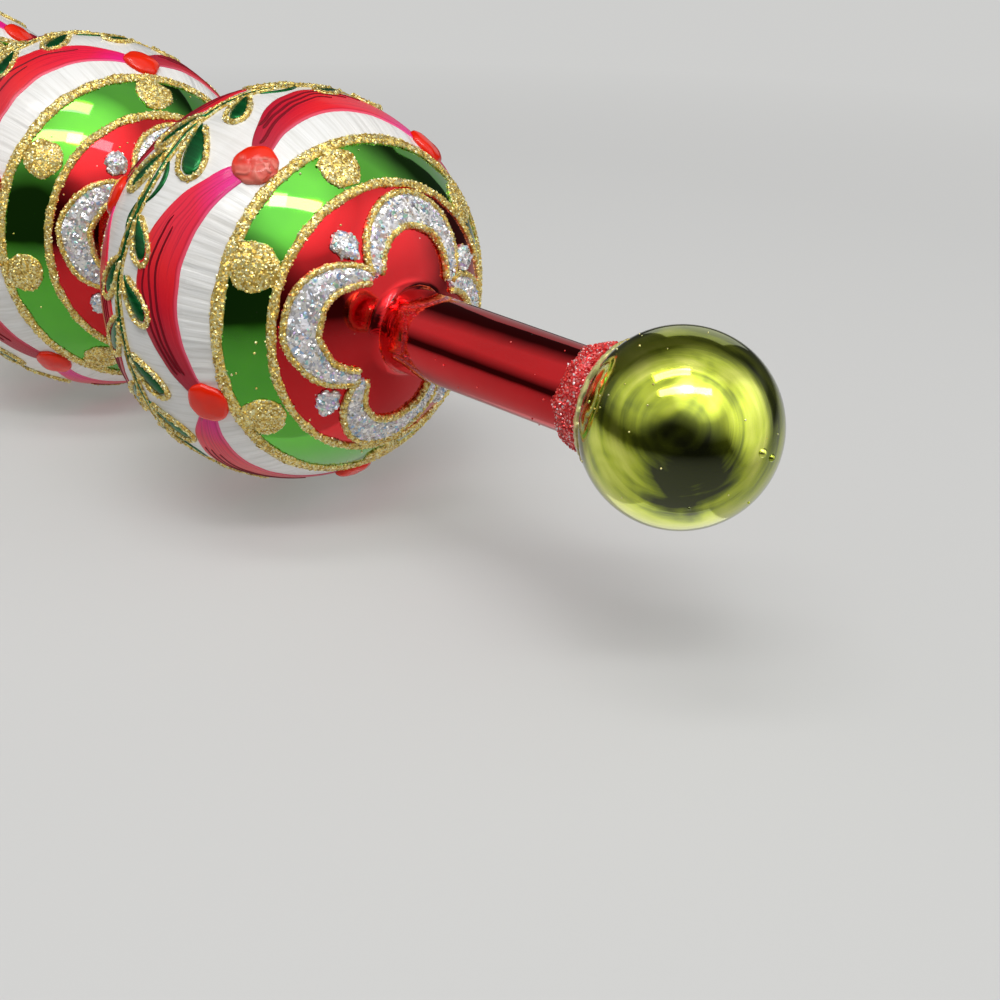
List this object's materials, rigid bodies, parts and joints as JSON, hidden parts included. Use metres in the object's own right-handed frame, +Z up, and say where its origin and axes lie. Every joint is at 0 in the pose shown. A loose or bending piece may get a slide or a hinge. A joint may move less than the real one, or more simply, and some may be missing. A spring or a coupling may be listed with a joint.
{
  "type": "hanging finial ornament",
  "caption": "Slim blown-glass drop ornament of stacked balls on a stem with a small round tip, raised glitter and enamel decoration, crown cap and hanging ring.",
  "frame": {"origin": "the point on the inside of the hanging ring's top where a hook or ribbon bears", "axes": "+Z up along the ornament's own axis as it hangs, the tip towards -Z; the hanging ring lies in the YZ plane and the clip's loop in the XZ plane"},
  "size_m": [0.0586, 0.0586, 0.2305],
  "materials": {
    "gold_metal": "stamped sheet and wire, gold coloured, satin to bright",
    "steel_wire": "bright drawn spring wire",
    "red_glass": "mirror-lined glass under red, green and pearl white lacquer, high gloss",
    "green_glass": "silver-lined yellow-green glass with streaks and small bubbles, high gloss",
    "red_glitter": "coarse red glitter in clear glue",
    "gold_glitter": "fine gold glitter in clear glue",
    "silver_glitter": "coarse silver glitter with rainbow flashes",
    "red_enamel": "hand-brushed glossy enamel, crimson to pink, with orange-red berries",
    "green_enamel": "deep green enamel leaves edged with gold glitter"
  },
  "bodies": {
    "hanger": {"hanging_ring": "gold_metal"},
    "cap": {"crown_cap": "gold_metal", "spring_clip": "steel_wire"},
    "ornament": {"glass_body": "red_glass", "tip_ball": "green_glass", "tip_collar": "red_glitter", "gold_band_lower_tip_side": "gold_glitter", "silver_swag_lower_tip_side": "silver_glitter", "berry_garland_lower_tip_side": "red_enamel", "silver_dot_lower_tip_side_1": "silver_glitter", "silver_dot_lower_tip_side_2": "silver_glitter", "silver_dot_lower_tip_side_3": "silver_glitter", "silver_dot_lower_tip_side_4": "silver_glitter", "gold_band_lower_cap_side": "gold_glitter", "silver_swag_lower_cap_side": "silver_glitter", "berry_garland_lower_cap_side": "red_enamel", "silver_dot_lower_cap_side_1": "silver_glitter", "silver_dot_lower_cap_side_2": "silver_glitter", "silver_dot_lower_cap_side_3": "silver_glitter", "silver_dot_lower_cap_side_4": "silver_glitter", "leaf_vine_lower": "green_enamel", "gold_band_middle_tip_side": "gold_glitter", "silver_swag_middle_tip_side": "silver_glitter", "berry_garland_middle_tip_side": "red_enamel", "silver_dot_middle_tip_side_1": "silver_glitter", "silver_dot_middle_tip_side_2": "silver_glitter", "silver_dot_middle_tip_side_3": "silver_glitter", "silver_dot_middle_tip_side_4": "silver_glitter", "gold_band_middle_cap_side": "gold_glitter", "silver_swag_middle_cap_side": "silver_glitter", "berry_garland_middle_cap_side": "red_enamel", "silver_dot_middle_cap_side_1": "silver_glitter", "silver_dot_middle_cap_side_2": "silver_glitter", "silver_dot_middle_cap_side_3": "silver_glitter", "silver_dot_middle_cap_side_4": "silver_glitter", "leaf_vine_middle": "green_enamel", "gold_band_upper_tip_side": "gold_glitter", "silver_swag_upper_tip_side": "silver_glitter", "berry_garland_upper_tip_side": "red_enamel", "silver_dot_upper_tip_side_1": "silver_glitter", "silver_dot_upper_tip_side_2": "silver_glitter", "silver_dot_upper_tip_side_3": "silver_glitter", "silver_dot_upper_tip_side_4": "silver_glitter", "gold_band_upper_cap_side": "gold_glitter", "silver_swag_upper_cap_side": "silver_glitter", "berry_garland_upper_cap_side": "red_enamel", "silver_dot_upper_cap_side_1": "silver_glitter", "silver_dot_upper_cap_side_2": "silver_glitter", "silver_dot_upper_cap_side_3": "silver_glitter", "silver_dot_upper_cap_side_4": "silver_glitter", "leaf_vine_upper": "green_enamel"}
  },
  "joints": [
    {"name": "ring_swing", "type": "hinge", "parent": "hanger", "child": "cap", "pos_m": [0, 0, -0.0106], "axis": [0, 1, 0], "range_deg": [-100, 100]},
    {"name": "cap_pull", "type": "slide", "parent": "cap", "child": "ornament", "axis": [0, 0, -1], "range_m": [0, 0.028]}
  ]
}
